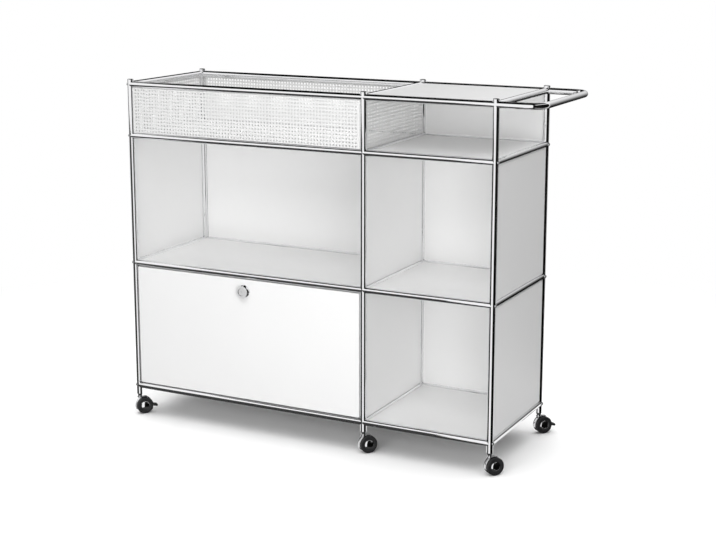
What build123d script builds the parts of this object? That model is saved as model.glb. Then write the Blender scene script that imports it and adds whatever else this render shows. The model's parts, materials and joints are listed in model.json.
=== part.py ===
import os
from math import cos, radians, sin, sqrt

from build123d import *

# Frame of chromed tubes, in millimetres
TUBE_D = 18.0
BAY_LEFT = 760.0
BAY_RIGHT = 380.0
DEPTH = 380.0
ROW_LOWER = 380.0
ROW_MIDDLE = 380.0
ROW_TOP = 150.0
POST_ABOVE = 15.0
POST_BELOW = 26.0
JOINT_GAP = 0.05

# Cap nuts on the outer faces of the end posts, this far inside the tube's outline
NUT_MARGIN = 4.0
NUT_HEIGHT = 3.5

# Push handle at the right end
HANDLE_OUT = 122.0
HANDLE_BEND = 45.0
BEND_SPANS = 4

# Sheet panels with folded edges, held between the tubes
SHEET = 1.0
PANEL_FACE = 5.0
PANEL_BACK = 7.0
PANEL_GAP = 0.3

# Drop-down door, hinged along its lower edge
DOOR_FACE = 6.0
DOOR_GAP = 2.0
DOOR_SILL_GAP = 2.5
DOOR_BELOW_HINGE = 2.0
HINGE_FORWARD = 5.5
HINGE_PIN_D = 5.0
HINGE_PIN_LENGTH = 9.0
HINGE_END_GAP = 0.3

# Knob and lock in the door
KNOB_D = 36.0
KNOB_LENGTH = 16.0
KNOB_DROP = 45.0
LOCK_D = 20.0
CAM_WIDTH = 14.0
CAM_SHEET = 2.0
CAM_CATCH = 5.0
CAM_CLEAR = 1.2

# Twin-wheel swivel casters
WHEEL_D = 50.0
WHEEL_WIDTH = 7.5
WHEEL_SPACE = 10.0
WHEEL_SIDES = 32
TRAIL = 13.5
CASTER_TURN = 50.0
NECK_D = 13.0
NECK_LENGTH = 10.7
NECK_TAPER = 6.0
NECK_SIDES = 18
SWIVEL_GAP = 0.3
SWIVEL_PIN_D = 5.0
SWIVEL_PIN_LENGTH = 14.0
AXLE_D = 6.0
HOOD_RISE = 3.0
HOOD_FROM = 70.0
HOOD_TO = 205.0
HOOD_SPANS = 9
HOOD_SIDE_GAP = 0.5
HUB_D = 16.0
HUB_TURNS = (255.0, 315.0, 375.0)
BOSS_LENGTH = 14.0
BOSS_HEIGHT = 17.0

# Brake lever between the wheels of two casters
LEVER_PIVOT = 13.0
LEVER_DROP = 10.0
LEVER_PIN_D = 3.0
LEVER_TONGUE = 3.8
LEVER_THICK = 6.0
LEVER_PAD_LENGTH = 13.0
LEVER_PAD_WIDTH = 18.0
LEVER_PAD_GAP = 1.5
LEVER_SIDE_GAP = 0.3
LEVER_TURN_ROOM = 1.5

# Pins and axles, and their radial play in their holes
PIN_SIDES = 12
RUN_GAP = 0.05

TUBE_R = TUBE_D / 2
NUT_FLATS = TUBE_D - 2 * NUT_MARGIN
WHEEL_R = WHEEL_D / 2
HOOD_R = WHEEL_R + HOOD_RISE
HOOD_WIDTH = WHEEL_SPACE - 2 * HOOD_SIDE_GAP
SWIVEL_Z = WHEEL_R + HOOD_R
NECK_Z = SWIVEL_Z + SWIVEL_GAP
POST_END = NECK_Z + NECK_LENGTH
COLUMNS = {"left": 0.0, "middle": BAY_LEFT, "right": BAY_LEFT + BAY_RIGHT}
ROWS = {"front": 0.0, "rear": DEPTH}
LEVELS = [POST_END + POST_BELOW]
for rise in (ROW_LOWER, ROW_MIDDLE, ROW_TOP):
    LEVELS.append(LEVELS[-1] + rise)
POST_TOP = LEVELS[3] + POST_ABOVE
BAYS = {"left": (COLUMNS["left"], BAY_LEFT), "right": (COLUMNS["middle"], BAY_RIGHT)}
BRAKED = (("left", "front"), ("right", "rear"))
HINGE_Y = ROWS["front"] - HINGE_FORWARD
DOOR_LOW = LEVELS[0] + TUBE_R + DOOR_SILL_GAP
HINGE_Z = DOOR_LOW + DOOR_BELOW_HINGE
LOCK_X = COLUMNS["left"] + BAY_LEFT / 2
LOCK_Z = LEVELS[1] - KNOB_DROP
CAM_Y = ROWS["front"] + TUBE_R + PANEL_GAP + SHEET + CAM_CLEAR

UNDER = (Align.CENTER, Align.CENTER, Align.MAX)
ABOVE = (Align.CENTER, Align.CENTER, Align.MIN)
BEHIND = (Align.MIN, Align.CENTER, Align.CENTER)
nodes = {}


def flat_sided(diameter, length, sides, hole=False):
    """Bar along Z with its middle at the origin; its corners lie on the diameter, or a hole's flats do."""
    outline = RegularPolygon(diameter / 2, sides, major_radius=not hole, rotation=180 / sides)
    return extrude(outline, length / 2, both=True)


# Posts and rails

def directions(column, row, level):
    """Turns, in degrees from +X, of the bars that leave a post at one level."""
    turns = [90 if row == "front" else 270]
    if column != "right" or level == LEVELS[3]:
        turns.append(0)
    if column != "left":
        turns.append(180)
    return turns


def notch(turn, taken):
    """Wedge that cuts the end of a bar so that it nests on its post and meets the bars beside it."""
    reach = TUBE_D
    nest = (TUBE_R + JOINT_GAP) * sqrt(2)
    sides = []
    for side in (-1, 1):
        if (turn + 90 * side) % 360 in taken:
            inner = ((nest + JOINT_GAP) / 2, side * (nest - JOINT_GAP) / 2)
            sides.append([inner, (reach + JOINT_GAP, side * reach)])
        else:
            sides.append([(nest - reach, side * reach)])
    outline = [(-reach, -reach)] + sides[0][::-1] + [(nest, 0)] + sides[1] + [(-reach, reach)]
    return Rot(Z=turn) * extrude(Polygon(*outline, align=None), reach, both=True)


def rail(column, row, level, turn, length, far_column, far_row):
    """Bar from the axis of one post to the axis of another, notched at both ends."""
    bar = Rot(Z=turn) * Rot(Y=90) * Cylinder(TUBE_R, length, align=ABOVE)
    bar -= notch(turn, directions(column, row, level))
    far_notch = notch((turn + 180) % 360, directions(far_column, far_row, level))
    bar -= Rot(Z=turn) * Pos(length, 0, 0) * Rot(Z=-turn) * far_notch
    return Pos(COLUMNS[column], ROWS[row], level) * bar


def post(column, row):
    """Upright of one tube, from the caster's neck to the flat top."""
    return Pos(COLUMNS[column], ROWS[row], POST_END) * Cylinder(TUBE_R, POST_TOP - POST_END, align=ABOVE)


def hinge_pin(side, play=0.0):
    """Pin at the door's left (-1) or right (1) edge; with play, the hole in the post."""
    edge = TUBE_R + DOOR_GAP
    start = COLUMNS["left"] + edge if side < 0 else COLUMNS["middle"] - edge
    length = HINGE_PIN_LENGTH + (HINGE_END_GAP if play else 0)
    pin = flat_sided(HINGE_PIN_D + 2 * play, length, PIN_SIDES, hole=play > 0)
    return Pos(start + side * length / 2, HINGE_Y, HINGE_Z) * Rot(Y=90) * pin


for column in COLUMNS:
    for row in ROWS:
        nodes[f"{row}_{column}_post"] = [post(column, row)]
nodes["front_left_post"][0] -= hinge_pin(-1, RUN_GAP)
nodes["front_middle_post"][0] -= hinge_pin(1, RUN_GAP)

for bay, near, far in (("left", "left", "middle"), ("right", "middle", "right")):
    for row in ROWS:
        length = BAYS[bay][1]
        nodes[f"{bay}_{row}_rails"] = [rail(near, row, z, 0, length, far, row) for z in LEVELS]
for column in COLUMNS:
    nodes[f"{column}_cross_rails"] = [rail(column, "front", z, 90, DEPTH, column, "rear") for z in LEVELS]


# Handle: a tube bent twice, nested on the two right posts

def handle():
    """Tube from the front post round to the rear one, its bends in short straight spans."""
    sections = []

    def ring(x, y, turn):
        along = (cos(radians(turn)), sin(radians(turn)), 0)
        sections.append(Plane((x, y, 0), x_dir=(0, 0, 1), z_dir=along) * Circle(TUBE_R))

    corner = HANDLE_OUT - HANDLE_BEND
    ring(0, ROWS["front"], 0)
    for y, first in ((ROWS["front"] + HANDLE_BEND, 0), (ROWS["rear"] - HANDLE_BEND, 90)):
        for step in range(BEND_SPANS + 1):
            turn = first + 90 * step / BEND_SPANS
            swing = radians(turn - 90)
            ring(corner + HANDLE_BEND * cos(swing), y + HANDLE_BEND * sin(swing), turn)
    ring(0, ROWS["rear"], 180)
    tube = loft(sections, ruled=True)
    for row in ROWS:
        tube -= Pos(0, ROWS[row], 0) * notch(0, directions("right", row, LEVELS[3]))
    return Pos(COLUMNS["right"], 0, LEVELS[3]) * tube


nodes["handle"] = [handle()]


# Cap nuts, where the bolts through the end posts come out

def cap_nut(column, row, level):
    side = -1 if column == "left" else 1
    nut = extrude(RegularPolygon(NUT_FLATS / 2, 6, major_radius=False), NUT_HEIGHT)
    seat = COLUMNS[column] + side * (TUBE_R + JOINT_GAP)
    return Pos(seat, ROWS[row], level) * Rot(Y=90 * side) * nut


nodes["cap_nuts"] = []
for row in ROWS:
    nodes["cap_nuts"] += [cap_nut("left", row, z) for z in LEVELS]
    nodes["cap_nuts"] += [cap_nut("right", row, z) for z in LEVELS[:3]]


# Panels

def folded_panel(width, height, flange=PANEL_FACE + PANEL_BACK):
    """Sheet facing +Z at z = 0, with its four edges folded back as deep as the flange."""
    inside = Box(width - 2 * SHEET, height - 2 * SHEET, flange, align=UNDER)
    return Box(width, height, flange, align=UNDER) - Pos(0, 0, -SHEET) * inside


def between_tubes(spacing):
    return spacing - 2 * (TUBE_R + PANEL_GAP)


def floor_panel(bay, level):
    start, length = BAYS[bay]
    panel = folded_panel(between_tubes(length), between_tubes(DEPTH))
    return Pos(start + length / 2, DEPTH / 2, level + PANEL_FACE) * panel


def long_panel(bay, row, shelf):
    """Panel in the front or rear plane, facing outwards, above the given rail level."""
    start, length = BAYS[bay]
    rise = LEVELS[shelf + 1] - LEVELS[shelf]
    side = -1 if row == "front" else 1
    panel = Rot(X=-90 * side) * folded_panel(between_tubes(length), between_tubes(rise))
    return Pos(start + length / 2, ROWS[row] + side * PANEL_FACE, LEVELS[shelf] + rise / 2) * panel


def side_panel(column, shelf):
    """Panel across the depth, above the given rail level; the left one faces left, the others right."""
    rise = LEVELS[shelf + 1] - LEVELS[shelf]
    side = -1 if column == "left" else 1
    panel = Rot(Y=90 * side) * folded_panel(between_tubes(rise), between_tubes(DEPTH))
    return Pos(COLUMNS[column] + side * PANEL_FACE, DEPTH / 2, LEVELS[shelf] + rise / 2) * panel


nodes["tray_front_panel"] = [long_panel("left", "front", 2)]
nodes["tray_rear_panel"] = [long_panel("left", "rear", 2)]
nodes["tray_left_panel"] = [side_panel("left", 2)]
nodes["tray_divider_panel"] = [side_panel("middle", 2)]
nodes["top_panel"] = [floor_panel("right", LEVELS[3])]
nodes["top_right_rear_panel"] = [long_panel("right", "rear", 2)]
for bay in BAYS:
    nodes[f"{bay}_floors"] = [floor_panel(bay, z) for z in LEVELS[:3]]
    nodes[f"{bay}_rear_panels"] = [long_panel(bay, "rear", shelf) for shelf in (0, 1)]
for column, name in (("left", "left_side"), ("middle", "divider"), ("right", "right_side")):
    nodes[f"{name}_panels"] = [side_panel(column, shelf) for shelf in (0, 1)]


# Door, knob and lock

def along_lock(radius, start, end):
    """Round bar on the lock's axis, from one distance behind the front tubes to another."""
    bar = Rot(X=-90) * Cylinder(radius, end - start, align=ABOVE)
    return Pos(LOCK_X, ROWS["front"] + start, LOCK_Z) * bar


def door_panel():
    """Folded sheet whose edges reach back to the rear of the front tubes, with a hole for the lock."""
    high = LEVELS[1] - TUBE_R - DOOR_GAP
    width = BAY_LEFT - 2 * (TUBE_R + DOOR_GAP)
    panel = Rot(X=90) * folded_panel(width, high - DOOR_LOW, DOOR_FACE + TUBE_R)
    panel = Pos(LOCK_X, ROWS["front"] - DOOR_FACE, (DOOR_LOW + high) / 2) * panel
    return panel - along_lock(LOCK_D / 2 + RUN_GAP, -DOOR_FACE, SHEET)


def lock_cam():
    """Plate that turns up behind the folded front edge of the floor above the door."""
    reach = KNOB_DROP - PANEL_BACK + CAM_CATCH
    plate = Box(reach + LOCK_D / 2, CAM_SHEET, CAM_WIDTH, align=(Align.MIN, Align.MIN, Align.CENTER))
    return Pos(LOCK_X - reach, CAM_Y, LOCK_Z) * plate


knob_front = -DOOR_FACE - KNOB_LENGTH
nodes["door_panel"] = [door_panel()]
nodes["hinge_pins"] = [hinge_pin(-1), hinge_pin(1)]
knob = along_lock(KNOB_D / 2, knob_front, -DOOR_FACE)
knob_hole = Rot(X=90) * flat_sided(LOCK_D + 2 * RUN_GAP, 2 * KNOB_LENGTH, NECK_SIDES, hole=True)
nodes["door_knob"] = [knob - Pos(LOCK_X, ROWS["front"] - DOOR_FACE - KNOB_LENGTH / 2, LOCK_Z) * knob_hole]
nodes["lock_cylinder"] = [along_lock(LOCK_D / 2, knob_front, CAM_Y - ROWS["front"])]
nodes["lock_cam"] = [lock_cam()]


# Casters, each modelled on its swivel axis with the wheels trailing towards +X

def axle_hole(diameter, length, x=TRAIL, z=WHEEL_R):
    return Pos(x, 0, z) * Rot(X=90) * flat_sided(diameter + 2 * RUN_GAP, length, PIN_SIDES, hole=True)


def axle():
    return Pos(TRAIL, 0, WHEEL_R) * Rot(X=90) * flat_sided(AXLE_D, WHEEL_SPACE + 2 * WHEEL_WIDTH, PIN_SIDES)


def wheel(side):
    disc = flat_sided(WHEEL_D, WHEEL_WIDTH, WHEEL_SIDES, hole=True)
    middle = side * (WHEEL_SPACE + WHEEL_WIDTH) / 2
    disc = Pos(TRAIL, middle, WHEEL_R) * Rot(X=90) * disc
    return disc - axle_hole(AXLE_D, 2 * (WHEEL_SPACE + 2 * WHEEL_WIDTH))


def swivel_pin(play=0.0):
    """Pin that the hood turns on; with play, the hole for it."""
    length = SWIVEL_PIN_LENGTH + SWIVEL_GAP
    pin = flat_sided(SWIVEL_PIN_D + 2 * play, length + play, PIN_SIDES, hole=play > 0)
    return Pos(0, 0, NECK_Z - (length + play) / 2) * pin


def stem():
    """Neck that narrows below the post and then runs straight, with the swivel pin under it."""
    profile = ((POST_END, TUBE_D), (POST_END - NECK_TAPER, NECK_D), (NECK_Z, NECK_D))
    rings = [Pos(0, 0, z) * RegularPolygon(diameter / 2, NECK_SIDES) for z, diameter in profile]
    return loft(rings, ruled=True) + swivel_pin()


def hood(braked):
    """Web between the wheels, round over their tops, with a boss for the swivel pin."""
    step = (HOOD_TO - HOOD_FROM) / HOOD_SPANS
    turns = [(HOOD_R, HOOD_FROM + step * span) for span in range(HOOD_SPANS + 1)]
    turns += [(HUB_D / 2, turn) for turn in HUB_TURNS]
    outline = [(TRAIL + r * cos(radians(turn)), WHEEL_R + r * sin(radians(turn))) for r, turn in turns]
    web = extrude(Plane.XZ * Polygon(*outline, align=None), HOOD_WIDTH / 2, both=True)
    web += Pos(0, 0, SWIVEL_Z) * Box(BOSS_LENGTH, HOOD_WIDTH, BOSS_HEIGHT, align=UNDER)
    if braked:
        web += brake_lug()
        web -= brake_slot()
        web -= axle_hole(LEVER_PIN_D, 2 * HOOD_WIDTH, TRAIL + LEVER_PIVOT)
    web -= swivel_pin(RUN_GAP)
    return web - axle_hole(AXLE_D, 2 * HOOD_WIDTH)


def brake_lug():
    """Rear end of the hood's web, which carries the lever's cross pin."""
    length = LEVER_PIVOT + LEVER_PIN_D + LEVER_TURN_ROOM
    return Pos(TRAIL, 0, WHEEL_R) * Box(length, HOOD_WIDTH, HUB_D / 2, align=BEHIND)


def brake_slot():
    """Slot in the lug, open to the rear, for the lever's tongue."""
    start = LEVER_PIVOT - LEVER_THICK / 2 - LEVER_TURN_ROOM
    slot = Box(LEVER_PIVOT, LEVER_TONGUE + 2 * LEVER_SIDE_GAP, HUB_D, align=BEHIND)
    return Pos(TRAIL + start, 0, WHEEL_R) * slot


def brake_lever():
    """Tongue on a cross pin in the hood's slot, with a foot pad behind the wheels, pressed down."""
    pad_start = WHEEL_R + LEVER_PAD_GAP - LEVER_PIVOT
    half = LEVER_THICK / 2
    tongue = Pos(-half, 0, 0) * Box(pad_start + half, LEVER_TONGUE, LEVER_THICK, align=BEHIND)
    pad = Pos(pad_start, 0, 0) * Box(LEVER_PAD_LENGTH, LEVER_PAD_WIDTH, LEVER_THICK, align=BEHIND)
    pin = Rot(X=90) * flat_sided(LEVER_PIN_D, HOOD_WIDTH, PIN_SIDES)
    return Pos(TRAIL + LEVER_PIVOT, 0, WHEEL_R) * Rot(Y=LEVER_DROP) * (tongue + pad + pin)


nodes["caster_stems"] = []
for column in COLUMNS:
    for row in ROWS:
        place = Pos(COLUMNS[column], ROWS[row], 0) * Rot(Z=CASTER_TURN)
        braked = (column, row) in BRAKED
        nodes["caster_stems"].append(place * stem())
        nodes[f"{row}_{column}_hood"] = [place * hood(braked)]
        nodes[f"{row}_{column}_axle"] = [place * axle()]
        nodes[f"{row}_{column}_wheels"] = [place * wheel(-1), place * wheel(1)]
        if braked:
            nodes[f"{row}_{column}_brake_lever"] = [place * brake_lever()]


# The origin is the middle of the whole cart's box, on the floor
whole = Compound([solid for solids in nodes.values() for shape in solids for solid in shape.solids()])
box = whole.bounding_box()
centre = Pos(-(box.min.X + box.max.X) / 2, -(box.min.Y + box.max.Y) / 2, -box.min.Z)

os.makedirs("parts", exist_ok=True)
for name, solids in nodes.items():
    placed = [centre * shape for shape in solids]
    export_step(placed[0] if len(placed) == 1 else Compound(placed), f"parts/{name}.step")
print("nodes", len(nodes), "size", box.size, "left front post at", centre.position)
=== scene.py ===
# %% [markdown]
# A bar cart on casters: a frame of chromed tubes, white sheet panels with folded edges, a perforated
# tray at the top left, a drop-down door and a push handle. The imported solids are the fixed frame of
# this lesson. They say where every piece is, and each cell below makes one kind of piece with the
# finish and the fine shape that the plain solids lack.

# %% Load the frame
import json
from math import atan2, cos, pi, radians, sin

import bmesh
import bpy
from bmesh.types import BMEdge, BMVert
from mathutils import Matrix, Vector

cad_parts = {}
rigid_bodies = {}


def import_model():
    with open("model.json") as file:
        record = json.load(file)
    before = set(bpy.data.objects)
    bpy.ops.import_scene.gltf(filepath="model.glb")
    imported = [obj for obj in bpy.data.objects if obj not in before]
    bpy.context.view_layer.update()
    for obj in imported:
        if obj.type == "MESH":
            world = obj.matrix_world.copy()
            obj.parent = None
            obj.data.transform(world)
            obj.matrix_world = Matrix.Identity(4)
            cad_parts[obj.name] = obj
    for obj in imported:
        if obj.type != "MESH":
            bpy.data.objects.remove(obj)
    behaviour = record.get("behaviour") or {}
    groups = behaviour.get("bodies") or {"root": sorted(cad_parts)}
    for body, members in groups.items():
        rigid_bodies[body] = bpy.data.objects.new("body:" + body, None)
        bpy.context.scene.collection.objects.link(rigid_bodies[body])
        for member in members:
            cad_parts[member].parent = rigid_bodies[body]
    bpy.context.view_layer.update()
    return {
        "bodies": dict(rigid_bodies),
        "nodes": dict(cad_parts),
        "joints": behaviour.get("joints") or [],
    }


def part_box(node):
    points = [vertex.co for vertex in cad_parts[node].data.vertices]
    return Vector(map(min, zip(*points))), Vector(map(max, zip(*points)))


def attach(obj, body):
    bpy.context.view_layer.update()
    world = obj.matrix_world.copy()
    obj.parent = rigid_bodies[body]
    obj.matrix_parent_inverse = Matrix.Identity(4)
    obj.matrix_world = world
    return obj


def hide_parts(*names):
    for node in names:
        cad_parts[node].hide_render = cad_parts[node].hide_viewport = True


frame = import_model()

MM = 0.001
TOUCHING = 0.001 * MM  # corners this close are one corner
NEAR = 0.01 * MM  # a corner this close to a line or a plane is on it
FACING = 0.9  # a face with this much of its normal along an axis faces that way
X, Y, Z = Vector((1, 0, 0)), Vector((0, 1, 0)), Vector((0, 0, 1))
scene = bpy.context.scene

# %% [markdown]
# Some nodes hold several solids, such as the four rails of one side. A copy of such a node's mesh,
# with its loose corners merged, falls apart into one island for each solid, and the box of an island
# gives the place and size of the piece to make there.

# %% Measure the frame
def solid_boxes(node):
    """Lowest and highest corner of each solid in a node."""
    bm = bmesh.new()
    bm.from_mesh(frame["nodes"][node].data)
    bmesh.ops.remove_doubles(bm, verts=bm.verts, dist=TOUCHING)
    waiting = set(bm.verts)
    boxes = []
    while waiting:
        island = [waiting.pop()]
        for vert in island:
            for edge in vert.link_edges:
                other = edge.other_vert(vert)
                if other in waiting:
                    waiting.remove(other)
                    island.append(other)
        low = Vector([min(vert.co[axis] for vert in island) for axis in range(3)])
        high = Vector([max(vert.co[axis] for vert in island) for axis in range(3)])
        boxes.append((low, high))
    bm.free()
    return sorted(boxes, key=lambda box: [round(value, 4) for value in box[0]])


def joint_at(name):
    """Place of one joint."""
    found = next(joint for joint in frame["joints"] if joint["name"] == name)
    return Vector(found["pos_m"])


ROWS = ("front", "rear")
COLUMNS = ("left", "middle", "right")
PLACES = [f"{row}_{column}" for row in ROWS for column in COLUMNS]
post_at = {place: joint_at(f"{place}_swivel") for place in PLACES}
low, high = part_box("front_left_post")
TUBE_R = (high.x - low.x) / 2
print("tube diameter", round(2 * TUBE_R / MM, 2), "mm")

# %% [markdown]
# Every finish is a node tree on one Principled shader. What is the same all over a surface sits on the
# shader's own sockets. What varies comes from noise on Object coordinates, which are in metres here, so
# a noise scale of 1000 has grains of about a millimetre.

# %% Start a finish
NOISE_RANGE = (0.3, 0.7)  # nearly all of a noise lies between these


def start_finish(name):
    """A new material with its shader, and a function that adds noise mapped to a range."""
    material = bpy.data.materials.new(name)
    material.use_nodes = True
    nodes = material.node_tree.nodes
    links = material.node_tree.links
    place = nodes.new("ShaderNodeTexCoord")

    def noise(scale, lowest=0.0, highest=1.0, detail=2.0):
        grain = nodes.new("ShaderNodeTexNoise")
        grain.inputs["Scale"].default_value = scale
        grain.inputs["Detail"].default_value = detail
        links.new(place.outputs["Object"], grain.inputs["Vector"])
        spread = nodes.new("ShaderNodeMapRange")
        spread.inputs["From Min"].default_value = NOISE_RANGE[0]
        spread.inputs["From Max"].default_value = NOISE_RANGE[1]
        spread.inputs["To Min"].default_value = lowest
        spread.inputs["To Max"].default_value = highest
        links.new(grain.outputs["Fac"], spread.inputs["Value"])
        return spread.outputs["Result"]

    return material, nodes["Principled BSDF"], noise


def add_tint(material, shader, factor, first, second):
    """Base colour that wanders between two tones."""
    nodes, links = material.node_tree.nodes, material.node_tree.links
    mix = nodes.new("ShaderNodeMix")
    mix.data_type = "RGBA"
    mix.inputs["A"].default_value = (*first, 1)
    mix.inputs["B"].default_value = (*second, 1)
    links.new(factor, mix.inputs["Factor"])
    links.new(mix.outputs["Result"], shader.inputs["Base Color"])


def add_bump(material, shader, height, strength, distance):
    """Fine relief from a height between 0 and 1."""
    nodes, links = material.node_tree.nodes, material.node_tree.links
    bump = nodes.new("ShaderNodeBump")
    bump.inputs["Strength"].default_value = strength
    bump.inputs["Distance"].default_value = distance
    links.new(height, bump.inputs["Height"])
    links.new(bump.outputs["Normal"], shader.inputs["Normal"])


def vary_roughness(material, shader, factor):
    material.node_tree.links.new(factor, shader.inputs["Roughness"])


# %% [markdown]
# Chrome plate is a mirror. It is nearly colourless, and its life comes from what it reflects: white in
# the middle of a tube and dark along its edges. A faint change of roughness keeps it from looking like
# a perfect computer mirror.

# %% Chrome plate
PLATE_DRIFT = 0.97  # the darkest places' share of the tone
SATIN_DRIFT = 0.93
SATIN_METAL = 0.4


def chrome_plate(name, tone):
    material, shader, noise = start_finish(name)
    shader.inputs["Metallic"].default_value = 1.0
    add_tint(material, shader, noise(scale=6.0), tone, [PLATE_DRIFT * value for value in tone])
    vary_roughness(material, shader, noise(scale=35.0, lowest=0.035, highest=0.075))
    return material


def satin_chrome(name, tone):
    """A blasted face, whose fine grain scatters the light of the lamps."""
    material, shader, noise = start_finish(name)
    shader.inputs["Metallic"].default_value = SATIN_METAL
    add_tint(material, shader, noise(scale=400.0), tone, [SATIN_DRIFT * value for value in tone])
    vary_roughness(material, shader, noise(scale=600.0, lowest=0.36, highest=0.46))
    return material


tube_chrome = chrome_plate("tube_chrome", (0.90, 0.90, 0.91))
fitting_chrome = chrome_plate("fitting_chrome", (0.86, 0.865, 0.875))
knob_satin = satin_chrome("knob_satin", (0.84, 0.84, 0.845))
print("chrome for tubes, fittings and the knob's face")

# %% [markdown]
# The sheet panels have a white powder coat: half matt, with a fine orange-peel relief that only shows
# as a soft break in the highlights, and hardly any change of tone. The perforated tray panels get a
# darker copy of the same coat, which is painted shade.

# %% Powder coat
def powder_coat(name, light, dark):
    material, shader, noise = start_finish(name)
    shader.inputs["IOR"].default_value = 1.5
    add_tint(material, shader, noise(scale=2.5, detail=4.0), light, dark)
    vary_roughness(material, shader, noise(scale=60.0, lowest=0.36, highest=0.46))
    add_bump(material, shader, noise(scale=900.0), strength=0.12, distance=0.05 * MM)
    return material


panel_white = powder_coat("panel_white", (0.87, 0.87, 0.868), (0.85, 0.85, 0.85))
# Painted shade: the tray's panels are the same white coat, made darker here to stand in for the shade on
# them.
tray_shaded_white = powder_coat("tray_shaded_white", (0.75, 0.75, 0.747), (0.73, 0.73, 0.728))
print("powder coat for plain and perforated panels")

# %% [markdown]
# The wheels are black rubber on black moulded discs, the brake levers are black moulded plastic with a
# spark-eroded grain, and the pins inside the door and the casters are bright zinc-plated steel.

# %% Rubber, moulded black and zinc
def dark_moulding(name, light, dark, smooth, rough, grain):
    material, shader, noise = start_finish(name)
    add_tint(material, shader, noise(scale=90.0), light, dark)
    vary_roughness(material, shader, noise(scale=140.0, lowest=smooth, highest=rough))
    add_bump(material, shader, noise(scale=grain), strength=0.25, distance=0.06 * MM)
    return material


def zinc_plate(name, light, dark):
    material, shader, noise = start_finish(name)
    shader.inputs["Metallic"].default_value = 1.0
    add_tint(material, shader, noise(scale=120.0), light, dark)
    vary_roughness(material, shader, noise(scale=300.0, lowest=0.22, highest=0.36))
    return material


wheel_rubber = dark_moulding(
    "wheel_rubber", (0.022, 0.022, 0.023), (0.013, 0.013, 0.014), smooth=0.38, rough=0.55, grain=700.0
)
lever_black = dark_moulding(
    "lever_black", (0.024, 0.024, 0.025), (0.016, 0.016, 0.017), smooth=0.32, rough=0.46, grain=1400.0
)
pin_zinc = zinc_plate("pin_zinc", (0.62, 0.63, 0.64), (0.52, 0.53, 0.55))
print("finishes", [material.name for material in (wheel_rubber, lever_black, pin_zinc)])

# %% [markdown]
# These helpers are shared by all pieces. A piece is modelled as a bmesh, which becomes an object at the
# origin with its place in its mesh. It rides on a body of the frame, stands for one or more nodes and
# takes a finish.

# %% Helpers for pieces
SHARP_ANGLE = radians(40)


def gather(parts):
    """One bmesh from several."""
    whole = bmesh.new()
    for part in parts:
        mesh = bpy.data.meshes.new("part")
        part.to_mesh(mesh)
        part.free()
        whole.from_mesh(mesh)
        bpy.data.meshes.remove(mesh)
    return whole


def finish_piece(bm, name, body, nodes, material):
    """An object from a bmesh, with its finish, on a body and in place of some nodes."""
    bmesh.ops.remove_doubles(bm, verts=bm.verts, dist=TOUCHING)
    bmesh.ops.dissolve_degenerate(bm, edges=bm.edges, dist=TOUCHING)
    mesh = bpy.data.meshes.new(name)
    bm.to_mesh(mesh)
    bm.free()
    mesh.shade_smooth()
    mesh.set_sharp_from_angle(angle=SHARP_ANGLE)
    mesh.materials.append(material)
    piece = bpy.data.objects.new(name, mesh)
    scene.collection.objects.link(piece)
    even = piece.modifiers.new("even_normals", "WEIGHTED_NORMAL")
    even.keep_sharp = True
    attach(piece, body)
    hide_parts(*nodes)
    print(name, "stands for", ", ".join(nodes), "with", len(mesh.polygons), "faces")
    return piece


# %% [markdown]
# Most shapes start as a rod, a block or a profile that is spun about Z, and then get their edges rounded
# with a bevel. Operators give back corners, edges and faces in one list, so a helper picks out one kind.

# %% Helpers for shapes
def only(kind, parts):
    """The corners or the edges in a list of parts."""
    return [part for part in parts if isinstance(part, kind)]


def all_of(faces):
    """Faces with their edges and corners."""
    return list(dict.fromkeys(part for face in faces for part in (face, *face.edges, *face.verts)))


def bevel(bm, parts, width, segments, affect="EDGES"):
    bmesh.ops.bevel(
        bm, geom=parts, offset=width, segments=segments, profile=0.5, affect=affect, material=-1,
        clamp_overlap=True,
    )


def soften(bm, width, segments=2, sharper_than=30):
    """Rounds every edge that is sharper than an angle."""
    limit = radians(sharper_than)
    edges = [edge for edge in bm.edges if edge.is_manifold and edge.calc_face_angle() > limit]
    bevel(bm, edges, width, segments)


def rod(radius, length, sides, place):
    """Cylinder along Z with its middle at the origin, moved to its place."""
    bm = bmesh.new()
    bmesh.ops.create_cone(
        bm, cap_ends=True, segments=sides, radius1=radius, radius2=radius, depth=length, matrix=place
    )
    return bm


def block(size, place):
    """Box with its middle at the origin, moved to its place."""
    bm = bmesh.new()
    bmesh.ops.create_cube(bm, size=1.0, matrix=place @ Matrix.Diagonal((*size, 1)))
    return bm


def turned(profile, sides, closed=False):
    """A profile of radius and height, spun about Z."""
    bm = bmesh.new()
    verts = [bm.verts.new((radius, 0, height)) for radius, height in profile]
    pairs = list(zip(verts, verts[1:]))
    if closed:
        pairs.append((verts[-1], verts[0]))
    edges = [bm.edges.new(pair) for pair in pairs]
    bmesh.ops.spin(
        bm, geom=verts + edges, cent=(0, 0, 0), axis=Z, angle=2 * pi, steps=sides, use_merge=True
    )
    bmesh.ops.remove_doubles(bm, verts=bm.verts, dist=TOUCHING)
    bmesh.ops.recalc_face_normals(bm, faces=bm.faces)
    return bm


def dome(radius, height, base, steps):
    """Profile of a low dome, from its rim to its crown."""
    turns = [pi / 2 * step / steps for step in range(steps + 1)]
    return [(radius * cos(turn), base + height * sin(turn)) for turn in turns]


# %% [markdown]
# A post is one tube from the caster's neck to its flat top. A cone operator with two equal radii makes
# the tube, and a bevel on the top rim gives the thin bright ring that a real tube end shows.

# %% Posts
TUBE_SIDES = 48
POST_RIM = 1.2 * MM


def post(low, high):
    bm = rod(TUBE_R, high.z - low.z, TUBE_SIDES, Matrix.Translation((low + high) / 2))
    rim = [edge for edge in bm.edges if all(vert.co.z > high.z - POST_RIM for vert in edge.verts)]
    bevel(bm, rim, POST_RIM, segments=3)
    return bm


for place in PLACES:
    node = f"{place}_post"
    finish_piece(post(*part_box(node)), f"{place}_upright", "frame", [node], tube_chrome)

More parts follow.
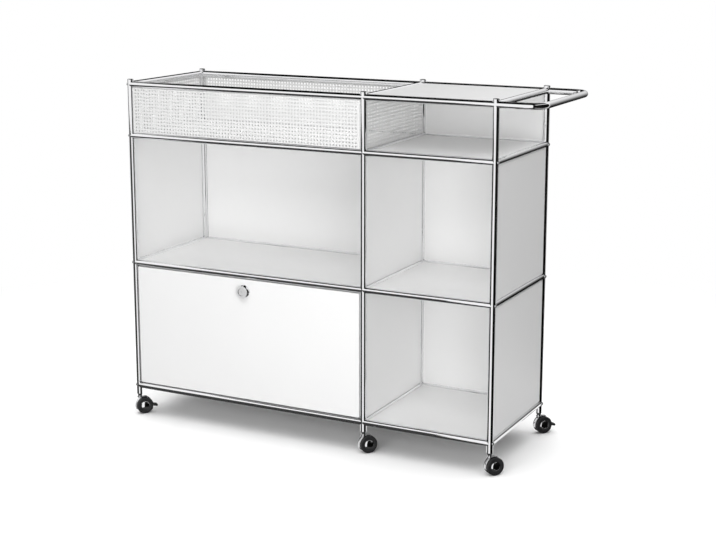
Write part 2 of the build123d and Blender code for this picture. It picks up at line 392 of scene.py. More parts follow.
# %% [markdown]
# A rail runs from the axis of one post to the axis of the next, so that the post's own round surface
# draws the saddle line of the joint. Where another rail leaves the same post at a right angle, both
# would fill the same corner, so an upright plane at 45 degrees cuts that corner off, and the two rails
# meet in a mitre, as they do on the real frame.

# %% Rails
MITRE_GAP = 0.05 * MM


def cut_corner(bm, faces, point, outward):
    """Cuts away what lies beyond a plane from some faces, and closes the cut."""
    cut = bmesh.ops.bisect_plane(
        bm, geom=all_of(faces), dist=TOUCHING, plane_co=point, plane_no=outward, clear_outer=True
    )
    bmesh.ops.contextual_create(bm, geom=only(BMEdge, cut["geom_cut"]))


def mitred_bar(length, sides):
    """Bar along X from the origin, with the corners cut on the given sides, -1 or 1, of its ends."""
    place = Matrix.Translation((length / 2, 0, 0)) @ Matrix.Rotation(radians(90), 4, "Y")
    bm = rod(TUBE_R, length, TUBE_SIDES, place)
    for side in sides:
        cut_corner(bm, bm.faces[:], (MITRE_GAP, 0, 0), (-1, side, 0))
        cut_corner(bm, bm.faces[:], (length - MITRE_GAP, 0, 0), (1, side, 0))
    return bm


def long_rail(bay, row, level):
    """Rail along X; the cross rails meet it on its inner side."""
    ends = ("left", "middle") if bay == "left" else ("middle", "right")
    start, end = (post_at[f"{row}_{column}"] for column in ends)
    bar = mitred_bar(end.x - start.x, [1 if row == "front" else -1])
    bar.transform(Matrix.Translation((start.x, start.y, level)))
    return bar


def cross_rail(column, level, top):
    """Rail along Y; side 1 is to its left, where the middle and right columns have long rails."""
    start, end = (post_at[f"{row}_{column}"] for row in ROWS)
    sides = {"left": [-1], "middle": [1, -1], "right": [1, -1] if top else [1]}[column]
    bar = mitred_bar(end.y - start.y, sides)
    bar.transform(Matrix.Translation((start.x, start.y, level)) @ Matrix.Rotation(radians(90), 4, "Z"))
    return bar


levels = sorted((low.z + high.z) / 2 for low, high in solid_boxes("left_front_rails"))
print("rail levels", [round(level / MM, 1) for level in levels], "mm")
for bay in ("left", "right"):
    for row in ROWS:
        bars = gather([long_rail(bay, row, level) for level in levels])
        node = f"{bay}_{row}_rails"
        finish_piece(bars, f"{bay}_{row}_bars", "frame", [node], tube_chrome)
for column in COLUMNS:
    bars = gather([cross_rail(column, level, level == levels[-1]) for level in levels])
    node = f"{column}_cross_rails"
    finish_piece(bars, f"{column}_cross_bars", "frame", [node], tube_chrome)

# %% [markdown]
# The push handle is one tube bent twice. A ring of edges starts at the front post. Extruding it makes
# the straight runs, and a quarter spin about the middle of each bend makes the bends, so the whole
# tube is one smooth skin.

# %% Handle
HANDLE_BEND = 45 * MM
BEND_STEPS = 14


def run_on(bm, ring, step):
    """Carries a ring of edges straight on, and gives its far end."""
    made = bmesh.ops.extrude_edge_only(bm, edges=ring)["geom"]
    verts = only(BMVert, made)
    bmesh.ops.translate(bm, verts=verts, vec=step)
    return [edge for edge in only(BMEdge, made) if set(edge.verts) <= set(verts)]


def bend_on(bm, ring, centre):
    """Carries a ring of edges a quarter turn to the left about an upright axis."""
    verts = list({vert for edge in ring for vert in edge.verts})
    made = bmesh.ops.spin(
        bm, geom=verts + ring, cent=centre, axis=Z, angle=pi / 2, steps=BEND_STEPS, use_merge=False
    )
    return only(BMEdge, made["geom_last"])


def handle():
    front, rear = post_at["front_right"], post_at["rear_right"]
    level = levels[-1]
    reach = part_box("handle")[1].x - TUBE_R
    straight = reach - HANDLE_BEND - front.x
    bm = bmesh.new()
    start = Matrix.Translation((front.x, front.y, level)) @ Matrix.Rotation(radians(90), 4, "Y")
    bmesh.ops.create_circle(bm, cap_ends=False, segments=TUBE_SIDES, radius=TUBE_R, matrix=start)
    first = bm.edges[:]
    ring = run_on(bm, first, straight * X)
    ring = bend_on(bm, ring, (reach - HANDLE_BEND, front.y + HANDLE_BEND, level))
    ring = run_on(bm, ring, (rear.y - front.y - 2 * HANDLE_BEND) * Y)
    ring = bend_on(bm, ring, (reach - HANDLE_BEND, rear.y - HANDLE_BEND, level))
    last = run_on(bm, ring, -straight * X)
    for end in (first, last):
        bmesh.ops.contextual_create(bm, geom=end)
    bmesh.ops.recalc_face_normals(bm, faces=bm.faces)
    for corner, side in ((front, 1), (rear, -1)):
        middles = {face: face.calc_center_median() for face in bm.faces}
        near = [
            face for face, middle in middles.items()
            if abs(middle.y - corner.y) < 2 * TUBE_R and middle.x < corner.x + straight
        ]
        cut_corner(bm, near, (corner.x + MITRE_GAP, corner.y, level), (-1, side, 0))
    return bm


finish_piece(handle(), "push_handle", "frame", ["handle"], tube_chrome)

# %% [markdown]
# Small cap nuts close the bolts that hold the long rails to the end posts. Each is a low dome on a
# thin collar, spun from a short profile.

# %% Cap nuts
NUT_COLLAR = 0.9 * MM
NUT_DOME = 0.88  # the dome's share of the collar's radius
NUT_STEPS = 6
NUT_SIDES = 24


def cap_nut(low, high):
    radius = (high.y - low.y) / 2
    tall = high.x - low.x
    outward = -1 if high.x < 0 else 1
    profile = [(0, 0), (radius, 0), (radius, NUT_COLLAR)]
    profile += dome(NUT_DOME * radius, tall - NUT_COLLAR, NUT_COLLAR, NUT_STEPS)
    bm = turned(profile, NUT_SIDES)
    seat = low.x if outward > 0 else high.x
    turn = Matrix.Rotation(radians(90) * outward, 4, "Y")
    bm.transform(Matrix.Translation((seat, (low.y + high.y) / 2, (low.z + high.z) / 2)) @ turn)
    return bm


nuts = [cap_nut(low, high) for low, high in solid_boxes("cap_nuts")]
finish_piece(gather(nuts), "domed_nuts", "frame", ["cap_nuts"], fitting_chrome)

# %% [markdown]
# A panel is a sheet of about a millimetre whose four edges are folded back. An open box with its fold
# edges bevelled is the outer skin, and solidify then gives it the thickness of the sheet, inwards. The
# round fold leaves a soft groove beside each tube, which is what outlines the panels on the real cart.
# The folds are shallow, so that the posts stand out inside the bays.

# %% Plain panels
SHEET = 1.0 * MM
FOLD = 2.2 * MM
FOLD_STEPS = 4
INNER_FOLD = 2.4 * MM


def folded_sheet(width, height, depth):
    """Open tray with its sheet facing +Z at z = 0."""
    bm = block((width, height, depth), Matrix.Translation((0, 0, -depth / 2)))
    bm.normal_update()
    back = [face for face in bm.faces if face.normal.z < -FACING]
    bmesh.ops.delete(bm, geom=back, context="FACES_ONLY")
    folds = [edge for edge in bm.edges if len(edge.link_faces) == 2]
    bevel(bm, folds, FOLD, FOLD_STEPS)
    bmesh.ops.solidify(bm, geom=bm.faces, thickness=SHEET)
    return bm


def sheet_in_box(low, high, facing, maker, deepest=None):
    """A sheet that faces one way at the face of a box, with folds as deep as the box or less."""
    turn = facing.to_track_quat("Z", "Y").to_matrix()
    width, height, depth = (abs(value) for value in turn.transposed() @ (high - low))
    bm = maker(width, height, min(depth, deepest or depth))
    middle = (low + high) / 2 + facing * depth / 2
    bm.transform(Matrix.Translation(middle) @ turn.to_4x4())
    return bm


PLAIN_PANELS = {
    "left_floors": Z, "right_floors": Z, "top_panel": Z,
    "left_rear_panels": Y, "right_rear_panels": Y, "top_right_rear_panel": Y,
    "left_side_panels": -X, "divider_panels": X, "right_side_panels": X,
}
for node, facing in PLAIN_PANELS.items():
    boxes = solid_boxes(node)
    sheets = gather([sheet_in_box(*box, facing, folded_sheet, INNER_FOLD) for box in boxes])
    finish_piece(sheets, f"{node}_sheet", "frame", [node], panel_white)

# %% [markdown]
# The tray's panels are perforated all over with a square grid of holes. A texture could fake them, but
# one looks through the tray, so the holes are real. Each cell of a grid is inset to a square, the
# corners of the square are bevelled to make it round, and its face is deleted. The border is then
# extruded out to the panel's edge and folded back.

# %% Perforated panels
PITCH = 9.85 * MM
HOLE = 5.6 * MM
PLAIN_BORDER = 1.5 * MM
HOLE_ROUND = 0.34 * HOLE
HOLE_CORNERS = 12  # a square's four, each rounded to three


def border_edges(bm, half_width, half_height):
    """Edges on the outline of a flat rectangle."""
    def on_outline(edge):
        points = [vert.co for vert in edge.verts]
        beside = all(abs(abs(point.x) - half_width) < NEAR for point in points)
        above = all(abs(abs(point.y) - half_height) < NEAR for point in points)
        return beside or above
    return [edge for edge in bm.edges if edge.is_boundary and on_outline(edge)]


def perforated_sheet(width, height, depth):
    columns = int((width - 2 * PLAIN_BORDER) / PITCH)
    rows = int((height - 2 * PLAIN_BORDER) / PITCH)
    grid_width, grid_height = columns * PITCH, rows * PITCH
    bm = bmesh.new()
    grid = Matrix.Diagonal((grid_width, grid_height, 1, 1))
    bmesh.ops.create_grid(bm, x_segments=columns, y_segments=rows, size=0.5, matrix=grid)
    cells = bm.faces[:]
    bmesh.ops.inset_individual(bm, faces=cells, thickness=(PITCH - HOLE) / 2, use_even_offset=True)
    corners = list({vert for cell in cells for vert in cell.verts})
    bevel(bm, corners, HOLE_ROUND, segments=2, affect="VERTICES")
    holes = [face for face in bm.faces if len(face.verts) == HOLE_CORNERS]
    bmesh.ops.delete(bm, geom=holes, context="FACES_ONLY")
    edge = run_on(bm, border_edges(bm, grid_width / 2, grid_height / 2), Vector())
    verts = list({vert for part in edge for vert in part.verts})
    bmesh.ops.scale(bm, verts=verts, vec=(width / grid_width, height / grid_height, 1))
    run_on(bm, edge, -depth * Z)
    uprights = [
        part for part in bm.edges
        if abs(part.verts[0].co.z - part.verts[1].co.z) > depth / 2
        and abs(abs(part.verts[0].co.x) - width / 2) < NEAR
        and abs(abs(part.verts[0].co.y) - height / 2) < NEAR
    ]
    bevel(bm, edge + uprights, FOLD, FOLD_STEPS)
    bmesh.ops.recalc_face_normals(bm, faces=bm.faces)
    bmesh.ops.solidify(bm, geom=bm.faces, thickness=SHEET)
    print("grid of", columns, "by", rows, "holes, found", len(holes))
    return bm


PERFORATED_PANELS = {
    "tray_front_panel": -Y, "tray_rear_panel": Y, "tray_left_panel": -X, "tray_divider_panel": X,
}
for node, facing in PERFORATED_PANELS.items():
    sheet = sheet_in_box(*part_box(node), facing, perforated_sheet, INNER_FOLD)
    finish_piece(sheet, f"{node}_sheet", "frame", [node], tray_shaded_white)

# %% [markdown]
# The door is the same kind of folded sheet, only deeper. It hangs on two pins at its lower corners and
# drops forward to lie flat.

# %% Door
door = sheet_in_box(*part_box("door_panel"), -Y, folded_sheet)
finish_piece(door, "door_sheet", "door", ["door_panel"], panel_white)

# %% [markdown]
# The knob is turned like a spool, so that the fingers find a groove behind its face. Its profile is a
# closed loop, so the spin leaves the bore for the lock open. The face has the satin finish, and the rest
# is bright.

# %% Knob
TURNED_SIDES = 64
KNOB_FOOT = 1.0 * MM
KNOB_RIM = 1.8 * MM
KNOB_GROOVE = 5.5 * MM
KNOB_ROUND = 0.6 * MM
GROOVE_STEPS = 10
LOCK_PLAY = 0.1 * MM


def knob_ring(radius, bore, length):
    """Knob along Z with its foot at z = 0."""
    span = length - KNOB_RIM - KNOB_FOOT
    shares = [step / GROOVE_STEPS for step in range(GROOVE_STEPS + 1)]
    groove = [(radius - KNOB_GROOVE * sin(pi * share), KNOB_FOOT + span * share) for share in shares]
    profile = [(bore, 0), (radius, 0)] + groove + [(radius, length), (bore + KNOB_FOOT, length)]
    profile.append((bore, length - KNOB_FOOT))
    bm = turned(profile, TURNED_SIDES, closed=True)
    soften(bm, KNOB_ROUND, segments=3, sharper_than=50)
    return bm


def to_door(bm, rear):
    """Turns a shape from Z to the lock's line, with its foot at a depth and its face to the front."""
    bm.transform(Matrix.Translation(lock_middle + rear * Y) @ Matrix.Rotation(radians(90), 4, "X"))
    return bm


low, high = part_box("door_knob")
lock_low, lock_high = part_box("lock_cylinder")
lock_middle = Vector(((low.x + high.x) / 2, 0, (low.z + high.z) / 2))
lock_radius = (lock_high.x - lock_low.x) / 2
ring = to_door(knob_ring((high.x - low.x) / 2, lock_radius + LOCK_PLAY, high.y - low.y), high.y)
knob = finish_piece(ring, "door_knob_ring", "door", ["door_knob"], fitting_chrome)
knob.data.materials.append(knob_satin)
for face in knob.data.polygons:
    face.material_index = 1 if face.normal.y < -FACING else 0

# %% [markdown]
# The lock cylinder sits in the middle of the knob, a little behind its face. The keyway is cut in its
# flat end: four planes divide the end face, and the middle is pushed in.

# %% Lock
KEYWAY = (1.6 * MM, 8.0 * MM)
KEYWAY_DEPTH = 4.0 * MM
LOCK_RECESS = 0.5 * MM
LOCK_ROUND = 0.5 * MM


def lock_barrel(radius, length):
    """Cylinder along Z with a keyway in its end."""
    bm = rod(radius, length, TURNED_SIDES, Matrix.Translation((0, 0, length / 2)))
    soften(bm, LOCK_ROUND, sharper_than=60)
    for axis, half in ((X, KEYWAY[0] / 2), (Y, KEYWAY[1] / 2)):
        for side in (-1, 1):
            end = [face for face in bm.faces if face.calc_center_median().z > length - NEAR]
            bmesh.ops.bisect_plane(bm, geom=all_of(end), plane_co=side * half * axis, plane_no=axis)
    keyhole = min(bm.faces, key=lambda face: (face.calc_center_median() - length * Z).length)
    pushed = bmesh.ops.extrude_discrete_faces(bm, faces=[keyhole])["faces"]
    bmesh.ops.translate(bm, verts=pushed[0].verts[:], vec=-KEYWAY_DEPTH * Z)
    return bm


barrel = to_door(lock_barrel(lock_radius, lock_high.y - lock_low.y - LOCK_RECESS), lock_high.y)
finish_piece(barrel, "lock_barrel", "lock", ["lock_cylinder"], knob_satin)

# %% [markdown]
# Under each post the tube narrows to a neck, and the caster turns on a pin below it. The neck is
# turned, with a waist at its foot that leaves the dark line between the neck and the caster.

# %% Caster necks
NECK_R = 6.5 * MM
NECK_TAPER = 6.0 * MM
NECK_ROUND = 0.4 * MM
WAIST = 1.2 * MM
SWIVEL_GAP = 0.3 * MM
PIN_R = 2.5 * MM


def neck(low, high, swivel_z):
    profile = [
        (0, high.z), (TUBE_R, high.z), (NECK_R, high.z - NECK_TAPER), (NECK_R, swivel_z + WAIST),
        (NECK_R - WAIST, swivel_z + WAIST), (NECK_R - WAIST, swivel_z + SWIVEL_GAP),
        (PIN_R, swivel_z + SWIVEL_GAP), (PIN_R, low.z), (0, low.z),
    ]
    bm = turned(profile, TUBE_SIDES)
    soften(bm, NECK_ROUND, sharper_than=25)
    bm.transform(Matrix.Translation(((low.x + high.x) / 2, (low.y + high.y) / 2, 0)))
    return bm


swivel_z = post_at["front_left"].z
necks = [neck(low, high, swivel_z) for low, high in solid_boxes("caster_stems")]
finish_piece(gather(necks), "caster_necks", "frame", ["caster_stems"], fitting_chrome)

# %% [markdown]
# A caster is modelled once, as if its swivel axis were the Z axis and its wheels trailed towards +X, and
# is then turned and moved to its post. The frame's joints say where each one stands and where it points.

# %% Caster frame
low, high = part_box("front_left_wheels")
WHEEL_R = (high.z - low.z) / 2
TRAIL = (joint_at("front_left_roll") - post_at["front_left"]).xy.length
AXLE = Vector((TRAIL, 0, WHEEL_R))
BRAKED = [place for place in PLACES if f"{place}_brake" in frame["bodies"]]


def caster_place(place):
    """Matrix from the model caster to one of the six."""
    middle, swivel = joint_at(f"{place}_roll"), post_at[place]
    turn = atan2(middle.y - swivel.y, middle.x - swivel.x)
    return Matrix.Translation((swivel.x, swivel.y, 0)) @ Matrix.Rotation(turn, 4, "Z")


print("wheel diameter", round(2 * WHEEL_R / MM, 2), "mm, casters with a brake", BRAKED)

# %% [markdown]
# The hood is the chromed web between the two wheels: an arc over the wheels and a small arc round the
# axle, each spun from one vertex, joined to an outline, filled, extruded and softened. A round collar
# carries it under the neck, and on a caster with a brake two cheeks hold the lever.

# %% Caster hoods
HOOD_R = swivel_z - WHEEL_R
HOOD_HALF = 4.5 * MM
HOOD_ROUND = 3.2 * MM
HOOD_ARC = (radians(70), radians(205))
HOOD_STEPS = 28
HUB_R = 8.0 * MM
HUB_ARC = (radians(255), radians(375))
HUB_STEPS = 12
COLLAR_R = 8.0 * MM
COLLAR_DROP = 2.6 * MM
CHEEK = (17.5 * MM, 2.25 * MM, 8.0 * MM)
FITTING_ROUND = 0.5 * MM


def arc(bm, radius, turns, steps):
    """Chain of vertices about the axle, spun from its first one."""
    first = bm.verts.new(AXLE + radius * Vector((cos(turns[0]), 0, sin(turns[0]))))
    made = bmesh.ops.spin(
        bm, geom=[first], cent=AXLE, axis=-Y, angle=turns[1] - turns[0], steps=steps, use_merge=False
    )
    return first, only(BMVert, made["geom_last"])[0]


def web():
    bm = bmesh.new()
    top_first, top_last = arc(bm, HOOD_R, HOOD_ARC, HOOD_STEPS)
    hub_first, hub_last = arc(bm, HUB_R, HUB_ARC, HUB_STEPS)
    bm.edges.new((top_last, hub_first))
    bm.edges.new((hub_last, top_first))
    flat = bmesh.ops.contextual_create(bm, geom=bm.edges[:])["faces"]
    bmesh.ops.translate(bm, verts=bm.verts, vec=-HOOD_HALF * Y)
    made = bmesh.ops.extrude_face_region(bm, geom=flat)["geom"]
    bmesh.ops.translate(bm, verts=only(BMVert, made), vec=2 * HOOD_HALF * Y)
    bmesh.ops.recalc_face_normals(bm, faces=bm.faces)
    soften(bm, HOOD_ROUND, segments=5)
    return bm


def collar():
    bm = turned([(0, -COLLAR_DROP), (COLLAR_R, -COLLAR_DROP), (COLLAR_R, 0), (0, 0)], TUBE_SIDES)
    soften(bm, FITTING_ROUND)
    bm.transform(Matrix.Translation((0, 0, swivel_z)))
    return bm


def cheek(side):
    middle = AXLE + Vector((CHEEK[0] / 2, side * (HOOD_HALF - CHEEK[1] / 2), 0))
    bm = block(CHEEK, Matrix.Translation(middle))
    soften(bm, FITTING_ROUND)
    return bm


for place in PLACES:
    parts = [web(), collar()]
    if place in BRAKED:
        parts += [cheek(side) for side in (-1, 1)]
    bm = gather(parts)
    bm.transform(caster_place(place))
    name, body, node = f"{place}_caster_hood", f"{place}_caster", f"{place}_hood"
    finish_piece(bm, name, body, [node], fitting_chrome)

# %% [markdown]
# Each caster has two wheels. A wheel is one turned body: a tread with rounded shoulders, a rim step and
# a dished disc. A domed chrome cap sits in the dish and covers the end of the axle.

# %% Wheels and hub caps
WHEEL_INNER = 5.0 * MM
WHEEL_WIDTH = 7.5 * MM
SHOULDER = 2.2 * MM
RIM_R = 17.5 * MM
RIM_ROUND = 0.3 * MM
DISH = 1.0 * MM
CAP_R = 14.0 * MM
CAP_RISE = 4.9 * MM
CAP_STEPS = 12


def to_axle(bm, side):
    """Turns a shape from Z to the axle's line, facing outwards on one side of the caster."""
    bm.transform(Matrix.Translation(AXLE) @ Matrix.Rotation(-side * radians(90), 4, "X"))
    return bm


def wheel(side):
    outer = WHEEL_INNER + WHEEL_WIDTH
    profile = [
        (0, WHEEL_INNER), (WHEEL_R, WHEEL_INNER), (WHEEL_R, outer), (RIM_R, outer),
        (RIM_R - DISH, outer - DISH), (CAP_R + DISH, outer - DISH), (CAP_R, outer - 2 * DISH),
        (0, outer - 2 * DISH),
    ]
    bm = turned(profile, TURNED_SIDES)
    shoulders = [
        edge for edge in bm.edges
        if all(abs(vert.co.xy.length - WHEEL_R) < NEAR for vert in edge.verts)
        and abs(edge.verts[0].co.z - edge.verts[1].co.z) < NEAR
    ]
    bevel(bm, shoulders, SHOULDER, segments=4)
    soften(bm, RIM_ROUND, sharper_than=35)
    return to_axle(bm, side)


def hub_cap(side):
    base = WHEEL_INNER + WHEEL_WIDTH - 2 * DISH
    profile = [(0, base), (CAP_R, base)] + dome(CAP_R, CAP_RISE, base, CAP_STEPS)[1:]
    return to_axle(turned(profile, TURNED_SIDES), side)


for place in PLACES:
    node, body = f"{place}_wheels", f"{place}_wheel_pair"
    for maker, name, material, slot in (
        (wheel, "tyres", wheel_rubber, "black_wheel"),
        (hub_cap, "hub_caps", fitting_chrome, "chrome_fitting"),
    ):
        bm = gather([maker(side) for side in (-1, 1)])
        bm.transform(caster_place(place))
        finish_piece(bm, f"{place}_{name}", body, [node], material)

# %% [markdown]
# Two casters have a brake. Its lever is a narrow tongue between the wheels with a foot pad behind them,
# tipped down a little as when the brake is on. Both are blocks with rounded edges.

# %% Brake levers
LEVER_PIVOT = 13.0 * MM
LEVER_DROP = radians(10)
LEVER_THICK = 6.0 * MM
TONGUE = (16.5 * MM, 3.8 * MM, LEVER_THICK)
TONGUE_LAP = 2.0 * MM
PAD = (13.0 * MM, 18.0 * MM, LEVER_THICK)
PAD_START = 13.5 * MM
PAD_ROUND = 1.8 * MM


def rounded_block(start, size, width):
    """Block along X from a start, with rounded edges."""
    bm = block(size, Matrix.Translation((start + size[0] / 2, 0, 0)))
    soften(bm, width, segments=3)
    return bm


def brake_lever():
    tongue = rounded_block(PAD_START + TONGUE_LAP - TONGUE[0], TONGUE, FITTING_ROUND)
    pad = rounded_block(PAD_START, PAD, PAD_ROUND)
    lever = gather([tongue, pad])
    pivot = Matrix.Translation(AXLE + LEVER_PIVOT * X)
    lever.transform(pivot @ Matrix.Rotation(LEVER_DROP, 4, "Y"))
    return lever


for place in BRAKED:
    bm = brake_lever()
    bm.transform(caster_place(place))
    name, body, node = f"{place}_foot_lever", f"{place}_brake", f"{place}_brake_lever"
    finish_piece(bm, name, body, [node], lever_black)

# %% [markdown]
# The axles, hinge pins and the lock's cam are right as they are, so these nodes stay and only get their
# finish.

# %% Pins that stay
for node in [f"{place}_axle" for place in PLACES] + ["hinge_pins", "lock_cam"]:
    mesh = frame["nodes"][node].data
    mesh.materials.clear()
    mesh.materials.append(pin_zinc)
print("zinc pins", len(PLACES) + 2)

# %% [markdown]
# The studio is a pale floor under a white surround. Near the cart the floor is a matt surface that
# takes the shadow: white to the camera, and greyer to the light that it throws back. Farther out it
# glows white to the camera, so it runs into the surround without a horizon, and throws no light of its
# own on the cart. The chrome doesn't see the floor.

# %% Floor
FLOOR_R = 14.0
FLOOR_SIDES = 64
SHADOW_R = (0.9, 2.2)
FLOOR_TONE = 0.43
FLOOR_SEEN = 1.0


def seen_directly(nodes, links):
    """1 for rays from the camera and in mirrors or glass, otherwise 0."""
    path = nodes.new("ShaderNodeLightPath")
    total = path.outputs["Is Camera Ray"]
    for name in ("Is Glossy Ray", "Is Transmission Ray"):
        most = nodes.new("ShaderNodeMath")
        most.operation = "MAXIMUM"
        links.new(total, most.inputs[0])
        links.new(path.outputs[name], most.inputs[1])
        total = most.outputs["Value"]
    return total


def floor_finish():
    material = bpy.data.materials.new("floor_pale")
    material.use_nodes = True
    nodes, links = material.node_tree.nodes, material.node_tree.links
    nodes.remove(nodes["Principled BSDF"])
    matt = nodes.new("ShaderNodeBsdfDiffuse")
    seen = seen_directly(nodes, links)
    tone = nodes.new("ShaderNodeMapRange")
    tone.inputs["To Min"].default_value = FLOOR_TONE
    tone.inputs["To Max"].default_value = FLOOR_SEEN
    links.new(seen, tone.inputs["Value"])
    links.new(tone.outputs["Result"], matt.inputs["Color"])
    glow = nodes.new("ShaderNodeEmission")
    place = nodes.new("ShaderNodeTexCoord")
    length = nodes.new("ShaderNodeVectorMath")
    length.operation = "LENGTH"
    fade = nodes.new("ShaderNodeMapRange")
    fade.interpolation_type = "SMOOTHSTEP"
    fade.inputs["From Min"].default_value = SHADOW_R[0]
    fade.inputs["From Max"].default_value = SHADOW_R[1]
    share = nodes.new("ShaderNodeMath")
    share.operation = "MULTIPLY"
    mix = nodes.new("ShaderNodeMixShader")
    links.new(place.outputs["Object"], length.inputs[0])
    links.new(length.outputs["Value"], fade.inputs["Value"])
    links.new(fade.outputs["Result"], share.inputs[0])
    links.new(seen, share.inputs[1])
    links.new(share.outputs["Value"], mix.inputs["Fac"])
    links.new(matt.outputs["BSDF"], mix.inputs[1])
    links.new(glow.outputs["Emission"], mix.inputs[2])
    links.new(mix.outputs["Shader"], nodes["Material Output"].inputs["Surface"])
    return material


def stage_object(bm, name, material):
    mesh = bpy.data.meshes.new(name)
    bm.to_mesh(mesh)
    bm.free()
    mesh.materials.append(material)
    made = bpy.data.objects.new(name, mesh)
    scene.collection.objects.link(made)
    return made


disc = bmesh.new()
bmesh.ops.create_circle(disc, cap_ends=True, segments=FLOOR_SIDES, radius=FLOOR_R)
floor = stage_object(disc, "floor", floor_finish())
floor.visible_glossy = False
print("floor of", FLOOR_R, "m")

# %% [markdown]
# The surround is plain white to the camera and in the chrome. As a light it is weak, and only fills the
# shadows.

# %% Surround
AMBIENT = 0.31

world = bpy.data.worlds.new("surround")
world.use_nodes = True
scene.world = world
nodes, links = world.node_tree.nodes, world.node_tree.links
strength = nodes.new("ShaderNodeMapRange")
strength.inputs["To Min"].default_value = AMBIENT
links.new(seen_directly(nodes, links), strength.inputs["Value"])
links.new(strength.outputs["Result"], nodes["Background"].inputs["Strength"])
nodes["Background"].inputs["Color"].default_value = (1, 1, 1, 1)
print("surround at", AMBIENT)

# %% [markdown]
# Chrome needs something dark to reflect, or it turns into white paint. Two cloths give it that: a black
# one, and one that glows from dark grey low to white high, so that no lamp changes it. That rising glow
# is painted light.

# %% Cloth for the flags
CLOTH_BLACK = (0.01, 0.01, 0.01, 1)
CLOTH_LIGHT = (0.05, 0.95)
CLOTH_HEIGHTS = (0.4, 2.4)


# Painted light: this cloth glows, dark grey low and white high, instead of being lit by the lamps.
def glowing_cloth():
    material = bpy.data.materials.new("glowing_cloth")
    material.use_nodes = True
    nodes, links = material.node_tree.nodes, material.node_tree.links
    nodes.remove(nodes["Principled BSDF"])
    glow = nodes.new("ShaderNodeEmission")
    place = nodes.new("ShaderNodeTexCoord")
    apart = nodes.new("ShaderNodeSeparateXYZ")
    rise = nodes.new("ShaderNodeMapRange")
    rise.inputs["From Min"].default_value = CLOTH_HEIGHTS[0]
    rise.inputs["From Max"].default_value = CLOTH_HEIGHTS[1]
    rise.inputs["To Min"].default_value = CLOTH_LIGHT[0]
    rise.inputs["To Max"].default_value = CLOTH_LIGHT[1]
    links.new(place.outputs["Object"], apart.inputs["Vector"])
    links.new(apart.outputs["Z"], rise.inputs["Value"])
    links.new(rise.outputs["Result"], glow.inputs["Strength"])
    links.new(glow.outputs["Emission"], nodes["Material Output"].inputs["Surface"])
    return material


black_cloth = bpy.data.materials.new("black_cloth")
black_cloth.use_nodes = True
black_shader = black_cloth.node_tree.nodes["Principled BSDF"]
black_shader.inputs["Base Color"].default_value = CLOTH_BLACK
black_shader.inputs["Roughness"].default_value = 1.0
black_shader.inputs["Specular IOR Level"].default_value = 0.0
rising_cloth = glowing_cloth()
print("cloths", black_cloth.name, rising_cloth.name)

# %% [markdown]
# As in a photo studio, black flags stand round the cart and leave one white window in front, so that
# every tube gets a white line between two dark ones. A black sheet hangs overhead. The grey cloth stands
# behind the cart, in front on the left, where it is low because the rails look over it, and lies far
# below. All of them are seen in mirrors only.

# %% Flags
WINDOW = (-0.45, 1.9)
WINDOW_Y = -2.2
SIDE_X = 3.2
SIDE_END = -0.5
LOW_FLAG = (-2.5, 0.6)
HIGH_FLAG = (-2.5, 3.4)
UNDER_Z = -1.6
OVERHEAD = 2.4
FLAG_FLOOR = 4 * MM
FLAG_START = 0.05
REAR_SIDES = (48, 100, 152)
REAR_STEPS = 24


def in_mirrors_only(made):
    made.visible_camera = False
    made.visible_diffuse = False
    made.visible_transmission = False
    made.visible_shadow = False


def flag(name, points, heights, cloth):
    """Upright surface along a line of points in plan."""
    bm = bmesh.new()
    verts = [bm.verts.new((x, y, heights[0])) for x, y in points]
    edges = [bm.edges.new(pair) for pair in zip(verts, verts[1:])]
    run_on(bm, edges, (heights[1] - heights[0]) * Z)
    in_mirrors_only(stage_object(bm, name, cloth))


def level_flag(name, height, half_size, cloth):
    """Flat square sheet."""
    bm = bmesh.new()
    place = Matrix.Translation((0, 0, height))
    bmesh.ops.create_grid(bm, x_segments=1, y_segments=1, size=half_size, matrix=place)
    in_mirrors_only(stage_object(bm, name, cloth))


def rear_flag(name, profile, sides, cloth):
    """Profile of radius and height, spun about the middle of the cart from one side to another."""
    bm = bmesh.new()
    turn = Matrix.Rotation(radians(sides[0]), 4, "Z")
    verts = [bm.verts.new(turn @ Vector((radius, 0, height))) for radius, height in profile]
    edges = [bm.edges.new(pair) for pair in zip(verts, verts[1:])]
    angle = radians(sides[1] - sides[0])
    bmesh.ops.spin(
        bm, geom=verts + edges, cent=(0, 0, 0), axis=Z, angle=angle, steps=REAR_STEPS, use_merge=False
    )
    in_mirrors_only(stage_object(bm, name, cloth))


left_corner, right_corner = (-SIDE_X, WINDOW_Y), (SIDE_X, WINDOW_Y)
flag("right_flag", [(WINDOW[1], WINDOW_Y), right_corner, (SIDE_X, SIDE_X)], HIGH_FLAG, black_cloth)
flag("low_left_flag", [(WINDOW[0], WINDOW_Y), left_corner, (-SIDE_X, SIDE_END)], LOW_FLAG, rising_cloth)
flag("high_left_flag", [left_corner, (-SIDE_X, SIDE_END)], HIGH_FLAG, black_cloth)
level_flag("overhead_flag", HIGH_FLAG[1], OVERHEAD, black_cloth)
level_flag("under_flag", UNDER_Z, -WINDOW_Y, rising_cloth)
rear_floor = [(FLAG_START, FLAG_FLOOR), (SIDE_X, FLAG_FLOOR)]
rear_wall = [(SIDE_X, FLAG_FLOOR), (SIDE_X, HIGH_FLAG[1])]
rear_flag("rear_floor_flag", rear_floor, REAR_SIDES[::2], black_cloth)
rear_flag("rear_cloth_flag", rear_wall, REAR_SIDES[:2], rising_cloth)
rear_flag("rear_left_flag", rear_wall, REAR_SIDES[1:], black_cloth)
print("flags", [made.name for made in scene.objects if made.name.endswith("flag")])

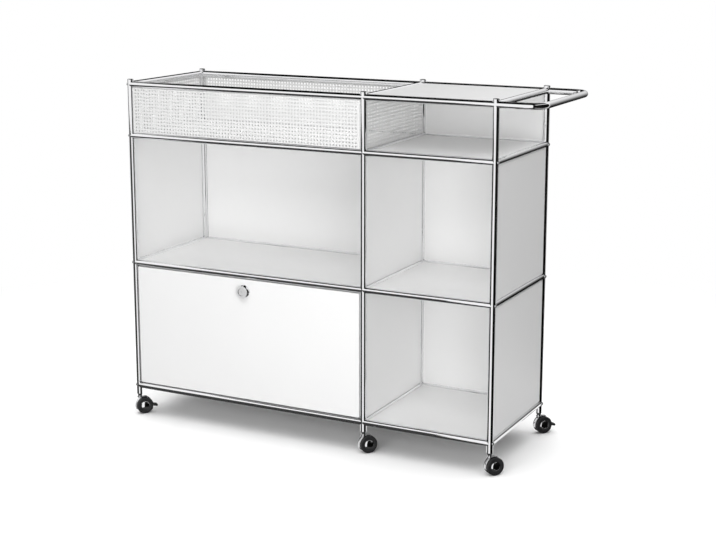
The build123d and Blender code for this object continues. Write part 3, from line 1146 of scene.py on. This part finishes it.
# %% [markdown]
# Large soft lamps give the picture's light. One stands low in the white window and reaches deep into the
# open bays, one is high above it, one fills the bays and the side from the right, a weak one hangs over
# the closed top and one stands behind the cart. Two more light the floor alone: a very large one above
# keeps the shadow close under the cart, and a low one in front softens it there. The lamps are hidden
# from mirrors, where they would burn out, and from the camera. White bays pass light from wall to wall
# many times, so the renderer is allowed more bounces than it has by default.

# %% Lamps
CART_LAMPS = {
    "window_lamp": ((0.4, -2.8, 0.45), 1.6, 24),
    "high_lamp": ((0.3, -2.6, 3.2), 2.5, 63),
    "side_lamp": ((2.5, -3.1, 0.9), 1.8, 50),
    "overhead_lamp": ((0.8, 0.2, 2.4), 1.4, 15),
    "rear_lamp": ((-1.8, 2.8, 0.6), 1.8, 60),
}
FLOOR_LAMPS = {
    "floor_lamp": ((-0.2, 0.2, 3.4), 6.5, 250),
    "front_floor_lamp": ((0.4, -2.6, 0.8), 1.6, 33),
}
LAMP_TARGET = Vector((0.0, 0.0, 0.5))
WALL_BOUNCES = 12
ALL_BOUNCES = 16


def soft_lamp(name, place, size, power, floor_state):
    """Square lamp towards the cart, which either lights the floor alone or leaves it out."""
    data = bpy.data.lights.new(name, "AREA")
    data.shape = "SQUARE"
    data.size = size
    data.energy = power
    lamp = bpy.data.objects.new(name, data)
    lamp.location = place
    lamp.rotation_euler = (LAMP_TARGET - Vector(place)).to_track_quat("-Z", "Y").to_euler()
    lamp.visible_glossy = False
    lamp.visible_camera = False
    scene.collection.objects.link(lamp)
    lit = bpy.data.collections.new(f"{name}_lit")
    lit.objects.link(floor)
    lit.collection_objects[0].light_linking.link_state = floor_state
    lamp.light_linking.receiver_collection = lit


for name, (place, size, power) in CART_LAMPS.items():
    soft_lamp(name, place, size, power, "EXCLUDE")
for name, (place, size, power) in FLOOR_LAMPS.items():
    soft_lamp(name, place, size, power, "INCLUDE")
scene.cycles.diffuse_bounces = WALL_BOUNCES
scene.cycles.max_bounces = ALL_BOUNCES
scene.view_settings.view_transform = "Standard"
print("soft lamps", len(bpy.data.lights))

# %% [markdown]
# The camera stands to the right of the front, a little above the cart's top. Its place, turn and lens
# come from fitting the frame's tube joints to the picture. The shift only settles the framing.

# %% Camera
CAMERA_AT = Vector((1.877, -3.643, 1.421))
CAMERA_TURN = radians(27.10)
CAMERA_TILT = radians(-11.36)
SENSOR = 36.0
LENS = 72.72
SHIFT = -0.06

camera_data = bpy.data.cameras.new("camera")
camera_data.sensor_fit = "HORIZONTAL"
camera_data.sensor_width = SENSOR
camera_data.lens = LENS
camera_data.shift_y = SHIFT
camera = bpy.data.objects.new("camera", camera_data)
camera.location = CAMERA_AT
camera.rotation_euler = (radians(90) + CAMERA_TILT, 0, CAMERA_TURN)
scene.collection.objects.link(camera)
scene.camera = camera
print("camera at", [round(value, 3) for value in CAMERA_AT])
